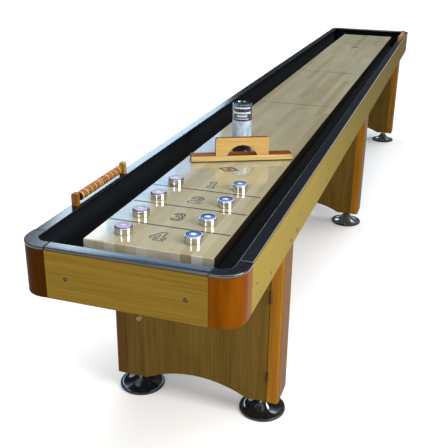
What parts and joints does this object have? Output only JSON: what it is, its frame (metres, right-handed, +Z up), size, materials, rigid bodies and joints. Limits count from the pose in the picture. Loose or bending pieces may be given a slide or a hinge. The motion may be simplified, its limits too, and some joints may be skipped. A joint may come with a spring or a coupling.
{
  "type": "shuffleboard table",
  "caption": "Long free-standing shuffleboard table: maple playfield in a guttered oak cabinet on pedestals with levelling feet, with bead scorers, pucks, a sweep brush and a powder can.",
  "frame": {"origin": "on the floor under the middle of the table, at the bottom centre of its box", "axes": "+Y along the table from the end with the pucks and the storage door to the far end, +X to the table's right as seen from that near end, +Z up"},
  "size_m": [0.644, 4.882, 0.9865],
  "materials": {
    "maple_playfield": "maple butcher block under a thick clear gloss polymer",
    "oak_laminate": "honey oak with a fine grain along the table, satin",
    "plain_board": "unfinished board",
    "stained_corner_wood": "orange-brown stained wood, satin lacquer",
    "black_rail": "black laminate, satin gloss",
    "oak_panel": "olive-brown oak with upright grain, satin",
    "stained_leg_wood": "orange stained wood, satin lacquer",
    "dark_hinge": "dark bronzed steel",
    "knob_wood": "turned wood, lacquered",
    "foot_metal": "dark polished metal dish on a threaded stem",
    "scorer_block_wood": "golden brown wood, lacquered",
    "bead_wood": "turned beads in two tones of lacquered wood",
    "rod_steel": "steel rod",
    "puck_pale": "polished steel body with a pale plastic cap",
    "puck_blue": "polished steel body with a blue plastic cap",
    "brush_wood": "honey lacquered wood with a dark top and a felt strip",
    "can_label": "dark printed label over a silver-blue lower half, metal rims"
  },
  "bodies": {
    "table": {"side_apron_left": "oak_laminate", "side_rail_left": "black_rail", "side_apron_right": "oak_laminate", "side_rail_right": "black_rail", "end_apron_near": "oak_laminate", "end_rail_near": "black_rail", "end_apron_far": "oak_laminate", "end_rail_far": "black_rail", "corner_post_near_left": "stained_corner_wood", "corner_cap_near_left": "black_rail", "corner_post_near_right": "stained_corner_wood", "corner_cap_near_right": "black_rail", "corner_post_far_left": "stained_corner_wood", "corner_cap_far_left": "black_rail", "corner_post_far_right": "stained_corner_wood", "corner_cap_far_right": "black_rail", "playfield_cradle": "plain_board", "playfield": "maple_playfield", "near_pedestal_post_left": "stained_leg_wood", "near_pedestal_post_right": "stained_leg_wood", "near_pedestal_back_panel": "oak_panel", "near_pedestal_floor": "plain_board", "middle_pedestal_post_left": "stained_leg_wood", "middle_pedestal_post_right": "stained_leg_wood", "middle_pedestal_back_panel": "oak_panel", "middle_pedestal_front_panel": "oak_panel", "middle_pedestal_floor": "plain_board", "far_pedestal_post_left": "stained_leg_wood", "far_pedestal_post_right": "stained_leg_wood", "far_pedestal_back_panel": "oak_panel", "far_pedestal_front_panel": "oak_panel", "far_pedestal_floor": "plain_board", "door_hinge_lower": "dark_hinge", "door_hinge_upper": "dark_hinge", "near_scorer_block_outer": "scorer_block_wood", "near_scorer_block_inner": "scorer_block_wood", "near_scorer_rod": "rod_steel", "far_scorer_block_outer": "scorer_block_wood", "far_scorer_block_inner": "scorer_block_wood", "far_scorer_rod": "rod_steel"},
    "storage_door": {"storage_door": "oak_panel", "door_knob": "knob_wood"},
    "sweep_brush": {"sweep_brush": "brush_wood"},
    "powder_can": {"powder_can": "can_label"},
    "foot_near_left": {"foot_near_left": "foot_metal"},
    "foot_near_right": {"foot_near_right": "foot_metal"},
    "foot_middle_left": {"foot_middle_left": "foot_metal"},
    "foot_middle_right": {"foot_middle_right": "foot_metal"},
    "foot_far_left": {"foot_far_left": "foot_metal"},
    "foot_far_right": {"foot_far_right": "foot_metal"},
    "near_scorer_beads": {"near_scorer_beads": "bead_wood"},
    "far_scorer_beads": {"far_scorer_beads": "bead_wood"},
    "puck_pale_1": {"puck_pale_1": "puck_pale"},
    "puck_pale_2": {"puck_pale_2": "puck_pale"},
    "puck_pale_3": {"puck_pale_3": "puck_pale"},
    "puck_pale_4": {"puck_pale_4": "puck_pale"},
    "puck_blue_1": {"puck_blue_1": "puck_blue"},
    "puck_blue_2": {"puck_blue_2": "puck_blue"},
    "puck_blue_3": {"puck_blue_3": "puck_blue"},
    "puck_blue_4": {"puck_blue_4": "puck_blue"}
  },
  "joints": [
    {"name": "door_hinge", "type": "hinge", "parent": "table", "child": "storage_door", "pos_m": [0.2655, -1.9101, 0.32], "axis": [0, 0, 1], "range_deg": [0, 110]},
    {"name": "foot_near_left_screw", "type": "slide", "parent": "table", "child": "foot_near_left", "axis": [0, 0, -1], "range_m": [0, 0.02]},
    {"name": "foot_near_right_screw", "type": "slide", "parent": "table", "child": "foot_near_right", "axis": [0, 0, -1], "range_m": [0, 0.02]},
    {"name": "foot_middle_left_screw", "type": "slide", "parent": "table", "child": "foot_middle_left", "axis": [0, 0, -1], "range_m": [0, 0.02]},
    {"name": "foot_middle_right_screw", "type": "slide", "parent": "table", "child": "foot_middle_right", "axis": [0, 0, -1], "range_m": [0, 0.02]},
    {"name": "foot_far_left_screw", "type": "slide", "parent": "table", "child": "foot_far_left", "axis": [0, 0, -1], "range_m": [0, 0.02]},
    {"name": "foot_far_right_screw", "type": "slide", "parent": "table", "child": "foot_far_right", "axis": [0, 0, -1], "range_m": [0, 0.02]},
    {"name": "near_beads_slide", "type": "slide", "parent": "table", "child": "near_scorer_beads", "axis": [0, 1, 0], "range_m": [-0.012, 0.012]},
    {"name": "far_beads_slide", "type": "slide", "parent": "table", "child": "far_scorer_beads", "axis": [0, 1, 0], "range_m": [-0.012, 0.012]},
    {"name": "puck_pale_1_glide", "type": "slide", "parent": "table", "child": "puck_pale_1", "axis": [0, 1, 0], "range_m": [0, 0.08]},
    {"name": "puck_pale_2_glide", "type": "slide", "parent": "table", "child": "puck_pale_2", "axis": [0, 1, 0], "range_m": [0, 0.08]},
    {"name": "puck_pale_3_glide", "type": "slide", "parent": "table", "child": "puck_pale_3", "axis": [0, 1, 0], "range_m": [0, 0.08]},
    {"name": "puck_pale_4_glide", "type": "slide", "parent": "table", "child": "puck_pale_4", "axis": [0, 1, 0], "range_m": [0, 0.08]},
    {"name": "puck_blue_1_glide", "type": "slide", "parent": "table", "child": "puck_blue_1", "axis": [0, 1, 0], "range_m": [0, 0.08]},
    {"name": "puck_blue_2_glide", "type": "slide", "parent": "table", "child": "puck_blue_2", "axis": [0, 1, 0], "range_m": [0, 0.08]},
    {"name": "puck_blue_3_glide", "type": "slide", "parent": "table", "child": "puck_blue_3", "axis": [0, 1, 0], "range_m": [0, 0.08]},
    {"name": "puck_blue_4_glide", "type": "slide", "parent": "table", "child": "puck_blue_4", "axis": [0, 1, 0], "range_m": [0, 0.08]},
    {"name": "brush_lift", "type": "slide", "parent": "table", "child": "sweep_brush", "axis": [0, 0, 1], "range_m": [0, 0.15]},
    {"name": "can_lift", "type": "slide", "parent": "table", "child": "powder_can", "axis": [0, 0, 1], "range_m": [0, 0.15]}
  ]
}
